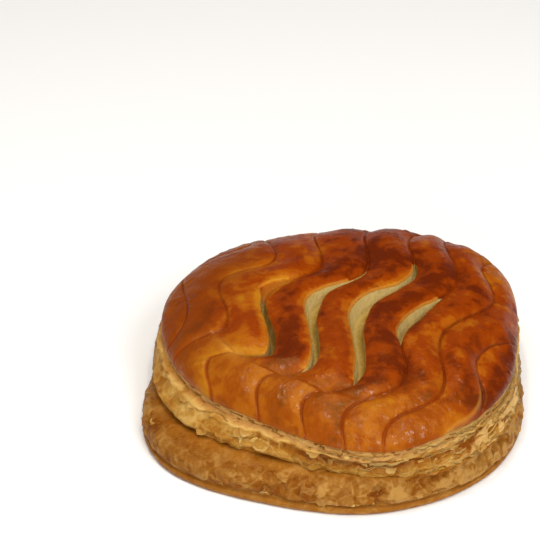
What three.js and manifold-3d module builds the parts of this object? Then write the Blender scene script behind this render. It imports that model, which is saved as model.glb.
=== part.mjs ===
// Individual galette des rois: two layers of puff pastry baked into one solid piece, with a
// glazed, domed lid scored with wavy lines, four of which are cut right open.
// Millimetres, +Z up. X runs left to right across the pastry, Y from its front to its back.

import * as THREE from 'three';
import { ParametricGeometry } from 'three/addons/geometries/ParametricGeometry.js';
import { mergeGeometries, mergeVertices } from 'three/addons/utils/BufferGeometryUtils.js';
import Module from 'manifold-3d';

const DEGREE = Math.PI / 180;

// ---- driving dimensions ---------------------------------------------------------------------

// Outlines seen from above, none of them quite round: a mean radius about the centre x, y, and
// waves of [lobes around, height, direction of a lobe in degrees].
const BASE_EDGE = {
  x: 0, y: 0, mean: 60.3,
  waves: [[1, 0.8, -16], [3, 1.4, -27], [4, 1.3, 37], [5, 0.7, -5], [6, 0.5, 29]],
};
const LIP_EDGE = {
  x: 3, y: 0, mean: 57.5,
  waves: [[1, 2.3, 80], [2, 1.0, -28], [3, 1.8, -57], [4, 1.3, 35], [5, 0.6, -17]],
};
const LID_EDGE = {
  x: 5.4, y: 1, mean: 56.8,
  waves: [
    [1, 3.3, 94], [2, 0.4, -59], [3, 3.2, 45], [4, 0.9, 41], [5, 0.8, -18], [6, 0.4, -25], [7, 0.3, 16],
  ],
};
const EDGES = [BASE_EDGE, LIP_EDGE, LID_EDGE];

// The side, from the flat bottom up to the glazed edge: which outline it follows (0 base,
// 1 lip, 2 lid, fractions between), how far out of it, the height, and how rough it is.
const SIDE_ROWS = [
  { edge: 0, out: -2.5, z: 0, rough: 0 },
  { edge: 0, out: -0.6, z: 0.6, rough: 0.1 },
  { edge: 0, out: 0, z: 1.6, rough: 0.1 },
  { edge: 0, out: -0.2, z: 2.7, rough: 0.15 },
  { edge: 0, out: -1.0, z: 3.4, rough: 0.3 },
  { edge: 0, out: -0.2, z: 4.4, rough: 0.5 },
  { edge: 0, out: -0.7, z: 6.8, rough: 0.7 },
  { edge: 0, out: -2.2, z: 9.2, rough: 0.7 },
  { edge: 0.6, out: -3.6, z: 11.0, rough: 0.5 },
  { edge: 1, out: -2.4, z: 11.9, rough: 0.4, crease: 1 },
  { edge: 1, out: -1.3, z: 11.6, rough: 0.6 },
  { edge: 1, out: 0, z: 12.6, rough: 1.0 },
  { edge: 1, out: 0.5, z: 14.4, rough: 0.8 },
  { edge: 1.5, out: 1.0, z: 16.8, rough: 0.8 },
  { edge: 2, out: 0.8, z: 19.2, rough: 0.6 },
  { edge: 2, out: -0.6, z: 20.7, rough: 0.4 },
];
const CREASE = { depth: 1.6, toward: 228, sharpness: 1.5 };

// The lid's dome rises from the glazed edge over a round shoulder to a nearly flat crown.
const LID = { edgeHeight: 22, shoulder: 9.4, crown: 2, flatness: 4, roundness: 1.6 };
const PILLOW = { height: 1.9, sunk: 0.3, lean: 1.2, fullness: 0.8, fadeStart: 0.88, fadeEnd: 1 };
// Where the pillows are flatter: left of the cuts, and along the front border.
const LEFT_PART = { from: -32, to: -14, plump: 0.35 };
const BORDER = { reachFrom: 0.58, reachTo: 0.8, alongFrom: 12, alongTo: 34, flatter: 0.55 };
const FOLD = {
  at: 0.775, ridge: 1.0, valley: 1.1, drop: 0.04, outer: 0.1, inner: 0.075, toward: 232, spread: 50,
};

// The scored waves run across the lid at this angle to the Y axis. Each line swings between
// its turning points [along, across], both measured from the centre of the base.
const WAVE_TILT = 22.8 * DEGREE;
const WAVES = {
  outerLeft: [[-19, -42], [12.3, -54.8], [30.9, -40.7]],
  left: [[-30.9, -39.2], [-18.7, -27.8], [4.1, -39], [18.8, -27.3], [43, -39.7], [58.1, -28.2]],
  cutOne: [[-52, -17], [-32.5, -27], [-26.4, -9.8], [1.2, -22.3], [20.1, -12], [47, -23.3]],
  cutTwo: [[-56, 0], [-39.2, -7.8], [-27.8, 4.4], [3.7, -6.6], [23.4, 2.3], [53.5, -7.7]],
  cutThree: [[-57, 15], [-41.3, 7.3], [-29.8, 19.2], [5.1, 8.2], [27.7, 16.9], [54.3, 7.1]],
  cutFour: [[-60, 30], [-42.6, 20.4], [-23.1, 31.9], [-1.5, 23.9], [29.8, 30.6], [63, 16.8]],
  right: [[-60, 44], [-41.9, 33.1], [-21.5, 43.3], [1.3, 35.6], [28.7, 43.5], [49.8, 33.4]],
  outerRight: [[-36, 49], [-17.5, 54.7], [-1.2, 47.9], [37.5, 63]],
};
const SCORE = { halfWidth: 0.4, depth: 0.8, step: 4.4, clear: 1.8, reach: 0.985, search: 0.5 };

// Where the scored line has opened in baking: [along, width] from one tip to the other.
const OPENINGS = {
  cutOne: [[-31, 0.5], [-28, 2.2], [-18, 2.4], [-8, 2], [-3, 1.6], [3, 5.6], [7, 4.4], [12, 0.5]],
  cutTwo: [[-33, 0.5], [-26, 2.5], [-10, 3], [1, 5.2], [10, 3], [18, 0.9], [31, 0.5]],
  cutThree: [[-33, 0.6], [-24, 3.3], [-10, 4], [2, 6.2], [13, 5.3], [22, 2.5], [33, 2.2], [37, 0.5]],
  cutFour: [[-10, 0.5], [-2, 3], [6, 4.2], [12, 3.2], [18, 1.4], [22, 0.5]],
};
const SLIT = {
  depth: 5.2, tipDepth: 1.2, deepening: 1.5, floorLeft: 0.34, floorRight: 0.16, flare: 0.3,
  step: 2.4, clear: 3,
};
// The back of this cut is only a shallow pocket.
const POCKET = { slit: 'cutOne', from: -3.5, to: 0, filled: 0.66 };

// How finely the surface is divided.
const AROUND = 108;
const LID_PATCH = 0.84;
const SHOULDER_RINGS = [1, 0.992, 0.975, 0.95, 0.915, 0.88, LID_PATCH];

const CRUST = { color: 0xb9651b, roughness: 0.45, metalness: 0 };

// ---- outlines and heights -------------------------------------------------------------------

function edgeRadius(edge, angle) {
  const swell = ([lobes, height, toward]) => height * Math.cos(lobes * angle - lobes * toward * DEGREE);
  return edge.waves.reduce((radius, wave) => radius + swell(wave), edge.mean);
}

// A point of the outline `level` (0 base, 1 lip, 2 lid), moved outward by `out`.
function edgePoint(level, angle, out) {
  const lower = Math.min(Math.floor(level), EDGES.length - 2);
  const [from, to] = [EDGES[lower], EDGES[lower + 1]];
  const share = level - lower;
  const mix = (a, b) => a + (b - a) * share;
  const radius = mix(edgeRadius(from, angle), edgeRadius(to, angle)) + out;
  return [
    mix(from.x, to.x) + radius * Math.cos(angle),
    mix(from.y, to.y) + radius * Math.sin(angle),
  ];
}

// Uneven flaking: a sum of waves around the rim that drifts a little from row to row.
const FLAKING = [[5, 0.3, 0.5], [9, 0.35, 2.1], [15, 0.4, 1.3], [22, 0.4, 0.9], [31, 0.3, 0.4]];
const flaking = (angle, row) => FLAKING.reduce(
  (sum, [lobes, height, drift]) => sum + height * Math.sin(lobes * angle + drift * row + lobes), 0,
);

const bell = (value) => Math.exp(-value * value);
const smoothStep = (from, to, value) => THREE.MathUtils.smoothstep(value, from, to);

// Across-position of a scored line at `along`: half a cosine from one turning point to the next.
function waveAcross(turns, along) {
  let leg = turns.findIndex(([position]) => position > along) - 1;
  if (leg < 0) leg = along < turns[0][0] ? 0 : turns.length - 2;
  const [[startAlong, startAcross], [endAlong, endAcross]] = [turns[leg], turns[leg + 1]];
  const phase = Math.PI * (along - startAlong) / (endAlong - startAlong);
  return startAcross + (endAcross - startAcross) * (1 - Math.cos(phase)) / 2;
}

const ALONG = [Math.sin(WAVE_TILT), Math.cos(WAVE_TILT)];
const ACROSS = [Math.cos(WAVE_TILT), -Math.sin(WAVE_TILT)];
const toPlan = (along, across) => [
  along * ALONG[0] + across * ACROSS[0],
  along * ALONG[1] + across * ACROSS[1],
];

// How much the crust stands up between the two scored lines on either side of a point: a half
// sine whose top leans toward the right-hand line.
function pillow(x, y, reach) {
  const along = x * ALONG[0] + y * ALONG[1];
  const across = x * ACROSS[0] + y * ACROSS[1];
  const lines = Object.values(WAVES).map((turns) => waveAcross(turns, along));
  const right = lines.findIndex((line) => line > across);
  const share = right < 1 ? 0 : (across - lines[right - 1]) / (lines[right] - lines[right - 1]);
  const rise = Math.sin(Math.PI * share ** PILLOW.lean) ** PILLOW.fullness;
  const border = smoothStep(BORDER.reachFrom, BORDER.reachTo, reach)
    * smoothStep(BORDER.alongFrom, BORDER.alongTo, -along);
  const rightPart = smoothStep(LEFT_PART.from, LEFT_PART.to, across) * (1 - BORDER.flatter * border);
  const plump = LEFT_PART.plump + (1 - LEFT_PART.plump) * rightPart;
  return PILLOW.height * plump * (rise - PILLOW.sunk);
}

// The fold along the lid's front left: it rises softly from the rim to a crest, then drops into
// a shallow valley.
function fold(reach, angle) {
  const degrees = THREE.MathUtils.euclideanModulo(angle / DEGREE, 360);
  const strength = bell((degrees - FOLD.toward) / FOLD.spread) ** 2;
  const beyond = reach - FOLD.at;
  const crest = smoothStep(-FOLD.drop, 0, beyond);
  const outer = FOLD.ridge * bell(beyond / FOLD.outer);
  const inner = FOLD.valley * bell((beyond + FOLD.drop) / FOLD.inner);
  return strength * (crest * outer - (1 - crest) * inner);
}

function lidHeight(x, y) {
  const angle = Math.atan2(y - LID_EDGE.y, x - LID_EDGE.x);
  const radius = Math.hypot(x - LID_EDGE.x, y - LID_EDGE.y);
  const reach = Math.min(radius / edgeRadius(LID_EDGE, angle), 1);
  const shoulder = LID.shoulder * (1 - reach ** LID.flatness) ** (1 / LID.roundness);
  const fade = 1 - smoothStep(PILLOW.fadeStart, PILLOW.fadeEnd, reach);
  const relief = fade * pillow(x, y, reach) + fold(reach, angle);
  return LID.edgeHeight + shoulder + LID.crown * (1 - reach * reach) + relief;
}

function lidPoint(reach, angle) {
  const radius = reach * edgeRadius(LID_EDGE, angle);
  const x = LID_EDGE.x + radius * Math.cos(angle);
  const y = LID_EDGE.y + radius * Math.sin(angle);
  return [x, y, lidHeight(x, y)];
}

// ---- the solid ------------------------------------------------------------------------------

const START_ANGLE = -45 * DEGREE;

// The crease between the layers, deepest at the front left where the lid overhangs.
function creaseDepth(angle) {
  const facing = (1 + Math.cos(angle - CREASE.toward * DEGREE)) / 2;
  return CREASE.depth * facing ** CREASE.sharpness;
}

function sidePoint(row, angle) {
  if (row < 0) return [0, 0, 0];
  if (row >= SIDE_ROWS.length) return lidPoint(SHOULDER_RINGS[row - SIDE_ROWS.length], angle);
  const { edge, out, z, rough, crease = 0 } = SIDE_ROWS[row];
  const inward = crease * creaseDepth(angle);
  const [x, y] = edgePoint(edge, angle, out - inward + rough * flaking(angle, row));
  return [x, y, z + 0.5 * rough * flaking(angle + 1, row)];
}

// The bottom, the side and the shoulder, as rings from the middle of the bottom up to the lid.
function sideSurface() {
  const rings = SIDE_ROWS.length + SHOULDER_RINGS.length;
  const shape = (u, v, target) => {
    const angle = START_ANGLE + 2 * Math.PI * (Math.round(u * AROUND) % AROUND) / AROUND;
    target.set(...sidePoint(Math.round(v * rings) - 1, angle));
  };
  return new ParametricGeometry(shape, AROUND, rings);
}

// The top of the lid, as a square net drawn onto the round: its rim is the last ring.
function lidSurface() {
  const cells = AROUND / 4;
  const shape = (u, v, target) => {
    const [a, b] = [2 * u - 1, 2 * v - 1];
    const sideways = Math.abs(a) > Math.abs(b);
    const reach = sideways ? a : b;
    if (reach === 0) {
      target.set(...lidPoint(0, 0));
      return;
    }
    const turn = (Math.PI / 4) * (sideways ? b / a : 2 - a / b);
    const angle = reach > 0 ? turn : turn + Math.PI;
    target.set(...lidPoint(LID_PATCH * Math.abs(reach), angle));
  };
  return new ParametricGeometry(shape, cells, cells);
}

// Joins surfaces at their shared points and drops the triangles that have shrunk to a line.
function closedShell(...surfaces) {
  surfaces.forEach((surface) => surface.deleteAttribute('normal').deleteAttribute('uv'));
  const shell = mergeVertices(mergeGeometries(surfaces), 1e-3);
  const corners = shell.index.array;
  const kept = [];
  for (let i = 0; i < corners.length; i += 3) {
    const [a, b, c] = corners.slice(i, i + 3);
    if (a !== b && b !== c && c !== a) kept.push(a, b, c);
  }
  shell.setIndex(kept);
  return shell;
}

// A closed bar whose section, of `sides` corners, follows `corner(station, index)`.
function sweptBar(stations, sides, corner) {
  const shape = (u, v, target) => {
    const step = Math.round(v * (stations + 1)) - 1;
    const station = THREE.MathUtils.clamp(step, 0, stations - 1);
    if (step === station) {
      target.set(...corner(station, Math.round(u * sides) % sides));
      return;
    }
    target.set(0, 0, 0);
    for (let index = 0; index < sides; index += 1) {
      target.addScaledVector(new THREE.Vector3(...corner(station, index)), 1 / sides);
    }
  };
  return closedShell(new ParametricGeometry(shape, sides, stations + 1));
}

// A bar under the lid's surface, `section(along)` giving its corners as [across, height]. Its
// stations crowd together toward both ends, where the surface bends most.
function lidCutter(turns, from, to, step, section) {
  const stations = Math.ceil((to - from) / step) + 1;
  return sweptBar(stations, section(from).length, (station, index) => {
    const share = (1 - Math.cos(Math.PI * station / (stations - 1))) / 2;
    const along = from + (to - from) * share;
    const line = waveAcross(turns, along);
    const surface = lidHeight(...toPlan(along, line));
    const [across, height] = section(along)[index];
    return [...toPlan(along, line + across), surface + height];
  });
}

// The opening's width at `along`, eased from one [along, width] to the next.
function openingWidth(opening, along) {
  const next = THREE.MathUtils.clamp(
    opening.findIndex(([position]) => position > along), 1, opening.length - 1,
  );
  const [[start, startWidth], [end, endWidth]] = [opening[next - 1], opening[next]];
  return THREE.MathUtils.lerp(startWidth, endWidth, smoothStep(start, end, along));
}

function slitCutter(name) {
  const opening = OPENINGS[name];
  const section = (along) => {
    const width = openingWidth(opening, along);
    const filled = name === POCKET.slit ? POCKET.filled * smoothStep(POCKET.from, POCKET.to, along) : 0;
    const depth = (1 - filled) * Math.min(SLIT.depth, SLIT.tipDepth + SLIT.deepening * width);
    return [
      [width / 2 + SLIT.flare, SLIT.clear],
      [SLIT.floorRight * width, -depth],
      [-SLIT.floorLeft * width, -depth],
      [-width / 2, SLIT.clear],
    ];
  };
  return lidCutter(WAVES[name], opening[0][0], opening.at(-1)[0], SLIT.step, section);
}

function insideLid(x, y) {
  const angle = Math.atan2(y - LID_EDGE.y, x - LID_EDGE.x);
  return Math.hypot(x - LID_EDGE.x, y - LID_EDGE.y) < SCORE.reach * edgeRadius(LID_EDGE, angle);
}

function scoreCutter(turns) {
  const halfTop = SCORE.halfWidth * (SCORE.depth + SCORE.clear) / SCORE.depth;
  const section = () => [[halfTop, SCORE.clear], [0, -SCORE.depth], [-halfTop, SCORE.clear]];
  const marks = [];
  for (let along = turns[0][0]; along < turns.at(-1)[0]; along += SCORE.search) {
    if (insideLid(...toPlan(along, waveAcross(turns, along)))) marks.push(along);
  }
  return lidCutter(turns, marks[0], marks.at(-1), SCORE.step, section);
}

const wasm = await Module();
wasm.setup();

function toSolid(shell) {
  return new wasm.Manifold(new wasm.Mesh({
    numProp: 3,
    vertProperties: shell.attributes.position.array,
    triVerts: Uint32Array.from(shell.index.array),
  }));
}

function toGeometry(solid) {
  const mesh = solid.getMesh();
  const geometry = new THREE.BufferGeometry();
  geometry.setAttribute('position', new THREE.BufferAttribute(mesh.vertProperties, 3));
  geometry.setIndex(new THREE.BufferAttribute(mesh.triVerts, 1));
  return geometry;
}

// The finished pastry stands on the ground, with the middle of its outer box over the origin.
function galette() {
  const whole = toSolid(closedShell(sideSurface(), lidSurface()));
  const scores = Object.values(WAVES).map(scoreCutter);
  const slits = Object.keys(OPENINGS).map(slitCutter);
  const cut = [...scores, ...slits].reduce((solid, cutter) => solid.subtract(toSolid(cutter)), whole);
  const geometry = toGeometry(cut);
  geometry.computeBoundingBox();
  const middle = geometry.boundingBox.getCenter(new THREE.Vector3());
  geometry.translate(-middle.x, -middle.y, 0);
  geometry.computeVertexNormals();
  const mesh = new THREE.Mesh(geometry, new THREE.MeshStandardMaterial(CRUST));
  mesh.name = 'galette';
  return mesh;
}

const group = new THREE.Group();
group.add(galette());

export default group;
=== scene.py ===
"""An individual galette des rois: glazed, scored lid over two flaky layers of puff pastry.

Shapes are worked out in millimetres in the pastry's own plan, and put into the frame's metres
when a mesh is made. X runs left to right, Y front to back, Z up from the resting surface.
"""

import math
from itertools import product

import bpy
import numpy as np
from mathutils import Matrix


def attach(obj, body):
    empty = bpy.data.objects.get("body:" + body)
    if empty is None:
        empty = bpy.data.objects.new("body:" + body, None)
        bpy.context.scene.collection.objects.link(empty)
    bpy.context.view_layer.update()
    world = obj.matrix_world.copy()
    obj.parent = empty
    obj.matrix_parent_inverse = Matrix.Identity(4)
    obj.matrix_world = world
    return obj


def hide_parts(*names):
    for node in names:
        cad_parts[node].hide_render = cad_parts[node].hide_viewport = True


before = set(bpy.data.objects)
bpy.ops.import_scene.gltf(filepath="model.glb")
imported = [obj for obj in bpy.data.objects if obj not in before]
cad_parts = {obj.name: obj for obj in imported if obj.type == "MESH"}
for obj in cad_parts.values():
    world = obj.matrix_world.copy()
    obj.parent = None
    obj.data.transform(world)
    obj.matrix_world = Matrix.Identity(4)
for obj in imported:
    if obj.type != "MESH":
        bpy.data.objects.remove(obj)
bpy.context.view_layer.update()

# ---- driving dimensions (mm, degrees) ----

MM = 0.001
NODE = "galette"
PLAN_MIDDLE = (1.144, 0.653)  # where the frame's origin lies in the plan below

# Outlines from above: mean radius about x, y, and waves of (lobes, height, direction of a lobe).
BASE_EDGE = dict(
    x=0, y=0, mean=60.3,
    waves=((1, 0.8, -16), (3, 1.4, -27), (4, 1.3, 37), (5, 0.7, -5), (6, 0.5, 29)),
)
LIP_EDGE = dict(
    x=3, y=0, mean=57.5,
    waves=((1, 2.3, 80), (2, 1.0, -28), (3, 1.8, -57), (4, 1.3, 35), (5, 0.6, -17)),
)
LID_EDGE = dict(
    x=5.4, y=1, mean=56.8,
    waves=((1, 3.3, 94), (2, 0.4, -59), (3, 3.2, 45), (4, 0.9, 41), (5, 0.8, -18), (6, 0.4, -25),
           (7, 0.3, 16)),
)
EDGES = (BASE_EDGE, LIP_EDGE, LID_EDGE)

# The lid's dome over its glazed edge.
EDGE_HEIGHT = 22.0
SHOULDER = 9.4
CROWN = 2.0
FLATNESS = 4.0
ROUNDNESS = 1.6

# The fold along the lid's front left, in shares of the lid's reach, mm and degrees.
FOLD = dict(at=0.775, ridge=1.0, valley=1.1, drop=0.04, outer=0.1, inner=0.075, toward=232, spread=50)
FOLD_END = dict(at=0.765, width=0.035, height=0.45, toward=209, spread=8)

# Scored waves: each line swings between its turning points (along, across), at this tilt to Y.
WAVE_TILT = math.radians(22.8)
ALONG = np.array((math.sin(WAVE_TILT), math.cos(WAVE_TILT)))
ACROSS = np.array((math.cos(WAVE_TILT), -math.sin(WAVE_TILT)))
WAVES = dict(
    outer_left=((-19, -42), (12.3, -54.8), (30.9, -40.7)),
    left=((-30.9, -39.2), (-18.7, -27.8), (4.1, -39), (18.8, -27.3), (43, -39.7), (58.1, -28.2)),
    cut_one=((-52, -17), (-32.5, -27), (-26.4, -9.8), (1.2, -22.3), (20.1, -12), (47, -23.3)),
    cut_two=((-56, 0), (-39.2, -7.8), (-27.8, 4.4), (3.7, -6.6), (23.4, 2.3), (53.5, -7.7)),
    cut_three=((-57, 15), (-41.3, 7.3), (-29.8, 19.2), (5.1, 8.2), (27.7, 16.9), (54.3, 7.1)),
    cut_four=((-60, 30), (-42.6, 20.4), (-23.1, 31.9), (-1.5, 23.9), (29.8, 30.6), (63, 16.8)),
    right=((-60, 44), (-41.9, 33.1), (-21.5, 43.3), (1.3, 35.6), (28.7, 43.5), (49.8, 33.4)),
    outer_right=((-36, 49), (-17.5, 54.7), (-1.2, 47.9), (37.5, 63)),
)
# Openings in four of the lines: (along, width).
OPENINGS = dict(
    cut_one=((-31, 0), (-28, 2.2), (-18, 2.4), (-8, 2.0), (-3, 1.6), (3, 5.6), (7, 4.4), (12, 0)),
    cut_two=((-33, 0), (-26, 2.5), (-10, 3), (1, 5.2), (10, 3), (18, 0.9), (31, 0)),
    cut_three=((-33, 0), (-24, 3.3), (-10, 4), (2, 6.2), (13, 5.3), (22, 2.5), (31, 1.8), (38, 0)),
    cut_four=((-10, 0), (-2, 3), (6, 4.2), (12, 3.2), (18, 1.4), (22, 0)),
)
CUT_DEPTH = 5.0
CUT_STEEPNESS = 1.9  # depth of a narrow cut, in its widths
POCKET_FILL = 0.72  # how much shallower the first cut's wide upper end is
SCORE_DEPTH = 0.4
SCORE_HALF_WIDTH = 0.36
CRACK_DEPTH = 0.8  # where the outermost line splits the rim
CRACK_HALF_WIDTH = 0.6
SPLIT_EDGE = 0.25
PLUMPNESS = 1.9

# Sides with a look of their own: (direction they face, spread), in degrees.
SHALLOW_CREASE = (325, 42)
UPPER_SIDES = dict(left=(190, 36), front=(270, 30), right=(338, 50), calm=(352, 32))
LOWER_SIDES = dict(left=(205, 45), right=(320, 50))

# Nets: squares across the lid, points round each ring, rings of each side.
LID_CELLS = 300
AROUND = 4 * LID_CELLS
UPPER_ROWS = 82
LOWER_ROWS = 78

NOISE_TABLE = 8192


# ---- numbers ----


def bell(value):
    """1 at 0, falling to nothing beyond 2 on either side."""
    return np.exp(-value * value)


def joined(*columns):
    """Arrays side by side, along a new last axis."""
    return np.stack(columns, -1)


def smooth(low, high, value):
    """0 below low, 1 above high, and an S-curve of third degree between."""
    share = np.clip((value - low) / (high - low), 0, 1)
    return share * share * (3 - 2 * share)


def unit(vectors):
    return vectors / np.linalg.norm(vectors, axis=-1, keepdims=True)


def table_key(cell):
    """A place in the noise tables for each whole-number cell."""
    mixed = cell[..., 0] * 73856093 ^ cell[..., 1] * 19349663 ^ cell[..., 2] * 83492791
    return mixed & (NOISE_TABLE - 1)


def value_noise(points, seed):
    """Smooth noise from -1 to 1: random values on whole-number corners, eased between them."""
    table = np.random.default_rng(seed).uniform(-1, 1, NOISE_TABLE)
    corner = np.floor(points).astype(np.int64)
    part = points - corner
    ease = part * part * part * (part * (part * 6 - 15) + 10)
    total = np.zeros(points.shape[:-1])
    for step in product((0, 1), repeat=3):
        x, y, z = (ease[..., axis] if step[axis] else 1 - ease[..., axis] for axis in range(3))
        total += table[table_key(corner + np.array(step))] * (x * y) * z
    return total


def cloud(points, size, seed, octaves=3):
    """Value noise with features of `size` mm, plus ever finer and weaker copies of itself."""
    total = np.zeros(points.shape[:-1])
    for octave in range(octaves):
        total += value_noise(points * (2**octave / size) + 17.3 * octave, seed + octave) / 2**octave
    return total


def ridged(points, size, seed, octaves=2):
    """1 along thin wandering ridges where the noise crosses zero, falling to 0 between them."""
    return 1 - np.clip(1.6 * np.abs(cloud(points, size, seed, octaves)), 0, 1)


def shingles(points, size, seed):
    """Torn leaves about `size` mm wide, round jittered centres: the height at each point, -1 to
    1, random and sloping across the leaf, how far inside its border it lies, and a random tone."""
    warp = np.stack([cloud(points, 0.45 * size, seed + axis, 2) for axis in (1, 2, 3)], -1)
    spot = points / size + 0.13 * warp
    home = np.floor(spot).astype(np.int64)
    table = np.random.default_rng(seed).uniform(0, 1, (NOISE_TABLE, 8))
    nearest, second = np.full(spot.shape[:-1], 9.0), np.full(spot.shape[:-1], 9.0)
    height, tone = np.zeros(spot.shape[:-1]), np.zeros(spot.shape[:-1])
    for step in product((-1, 0, 1), repeat=3):
        cell = home + np.array(step)
        row = table[table_key(cell)]
        offset = spot - (cell + row[..., :3])
        gap = np.sqrt((offset**2).sum(-1))
        closer = gap < nearest
        second = np.where(closer, nearest, np.minimum(second, gap))
        nearest = np.where(closer, gap, nearest)
        slope = ((row[..., 4:7] * 2 - 1) * offset).sum(-1)
        height = np.where(closer, row[..., 3] * 2 - 1 + 1.6 * slope, height)
        tone = np.where(closer, row[..., 7], tone)
    return height, second - nearest, tone


def stretched(points, share):
    """Points with their heights scaled: noise on them comes out flat (above 1) or tall."""
    return points * np.array((1, 1, share))


def facing(angle, toward, spread):
    """1 where the side faces `toward`, fading over `spread` degrees."""
    turn = (np.degrees(angle) - toward + 180) % 360 - 180
    return bell(turn / spread)


# ---- outlines and heights ----


def edge_radius(edge, angle):
    """The mean plus each wave: height * cos(lobes * (angle - direction))."""
    radius = np.full_like(angle, edge["mean"])
    for lobes, height, toward in edge["waves"]:
        radius = radius + height * np.cos(lobes * (angle - math.radians(toward)))
    return radius


def edge_point(level, angle, out):
    """x, y on the outline `level` (0 base, 1 lip, 2 lid, fractions between), moved outward."""
    level = np.clip(level, 0, 2)
    weights = [np.clip(1 - np.abs(level - number), 0, 1) for number in range(3)]
    radius = sum(w * edge_radius(edge, angle) for w, edge in zip(weights, EDGES)) + out
    x = sum(w * edge["x"] for w, edge in zip(weights, EDGES)) + radius * np.cos(angle)
    y = sum(w * edge["y"] for w, edge in zip(weights, EDGES)) + radius * np.sin(angle)
    return x, y


def leg_of(stations, along):
    """The values at the stations before and after, and the share of the way between them."""
    stations = np.array(stations, float)
    leg = np.clip(np.searchsorted(stations[:, 0], along) - 1, 0, len(stations) - 2)
    begin, end = stations[leg], stations[leg + 1]
    return begin[..., 1], end[..., 1], (along - begin[..., 0]) / (end[..., 0] - begin[..., 0])


def wave_across(turns, along):
    """Half a cosine from each turning point to the next."""
    begin, end, share = leg_of(turns, along)
    return begin + (end - begin) * (1 - np.cos(np.pi * share)) / 2


def opening_width(name, along):
    """The cut's width, eased between its stations, 0 where the line is only scored."""
    if name not in OPENINGS:
        return np.zeros_like(along)
    stations = OPENINGS[name]
    begin, end, share = leg_of(stations, along)
    inside = (along > stations[0][0]) & (along < stations[-1][0])
    return np.where(inside, begin + (end - begin) * smooth(0, 1, share), 0)


def plan(x, y):
    """Points of the plan, at height 0."""
    return joined(x, y, np.zeros_like(x))


def lid_reach(x, y):
    """How far out a point lies, 0 at the lid's centre and 1 at its edge, and its angle."""
    angle = np.arctan2(y - LID_EDGE["y"], x - LID_EDGE["x"])
    return np.hypot(x - LID_EDGE["x"], y - LID_EDGE["y"]) / edge_radius(LID_EDGE, angle), angle


def dome(reach):
    """A shoulder of (1 - reach^flatness)^(1 / roundness), and a crown falling with reach^2."""
    reach = np.clip(reach, 0, 1)
    return EDGE_HEIGHT + SHOULDER * (1 - reach**FLATNESS) ** (1 / ROUNDNESS) + CROWN * (1 - reach**2)


def fold(reach, angle):
    """The fold along the lid's front left: it rises softly from the rim to a crest, then drops
    into a shallow valley."""
    turn = (np.degrees(angle) % 360 - FOLD["toward"]) / FOLD["spread"]
    beyond = reach - FOLD["at"]
    crest = smooth(-FOLD["drop"], 0, beyond)
    outer = FOLD["ridge"] * bell(beyond / FOLD["outer"])
    inner = FOLD["valley"] * bell((beyond + FOLD["drop"]) / FOLD["inner"])
    return bell(turn) ** 2 * (crest * outer - (1 - crest) * inner)


def wave_place(x, y):
    """How far a point lies along the waves and across them."""
    return x * ALONG[0] + y * ALONG[1], x * ACROSS[0] + y * ACROSS[1]


def crowd_to_lines(x, y, room):
    """Draws the net together beside the scored lines and the cuts' lips: each point moves across
    the waves by a share of its distance that fades with that distance."""
    along, across = wave_place(x, y)
    moved = across.copy()
    for name, turns in WAVES.items():
        line, width = wave_across(turns, along), opening_width(name, along)
        for side in (-1, 1):
            gap = across - (line + side * width / 2)
            wide = width > 1.2
            moved -= room * np.where(wide, 0.62, 0.3) * gap * bell(gap / np.where(wide, 0.9, 1.3))
    return along * ALONG[0] + moved * ACROSS[0], along * ALONG[1] + moved * ACROSS[1]


def plump_bands(across, lines, widths):
    """The bands between neighbouring lines: their height, 0 to 1, a flattened half sine, and each
    point's band, the line's number plus its share of the way to the next."""
    pillow, band = np.zeros_like(across), np.zeros_like(across)
    for left in range(len(lines) - 1):
        start, end = lines[left] + widths[left] / 2, lines[left + 1] - widths[left + 1] / 2
        share = (across - start) / np.maximum(end - start, 0.1)
        inside = (share > 0) & (share < 1)
        pillow = np.where(inside, np.sin(np.pi * np.clip(share, 0, 1) ** 1.2) ** 0.8, pillow)
        band = np.where(inside, left + share, band)
    return pillow, band


def open_cuts(spots, gaps, widths, pocket):
    """Open cuts: a sloping wall down from the far lip, a steep one up to the near lip. Their
    depth, the place across them, -0.5 to 0.5, and the height of the lips."""
    cut, wall, lip = np.zeros((3, *pocket.shape))
    for gap, width in zip(gaps, widths):
        ragged = 0.16 * cloud(spots, 2.6, 11, 2) * smooth(0.6, 2, width)
        left, right = -width / 2 + ragged, width / 2 - 0.6 * ragged
        fall = smooth(0, 1, (gap - left) / np.maximum((0.3 + 0.3 * pocket) * width, 0.25)) ** 0.8
        rise = smooth(0, 1, (right - gap) / np.maximum((0.22 + 0.3 * pocket) * width, 0.3))
        depth = np.minimum(CUT_DEPTH, CUT_STEEPNESS * width) * (1 - POCKET_FILL * pocket) * fall * rise
        depth = depth * (width > 0.15)
        wall = np.where(depth > cut, gap / np.maximum(width, 0.1), wall)
        cut = np.maximum(cut, depth)
        near = smooth(0.8, 2.5, width)
        lip = lip + near * bell((gap - left + 0.6) / 0.8) * 0.3
        lip = lip + near * bell((gap - right - 1) / 1.3) * 0.25
    return cut, wall, lip


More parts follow.
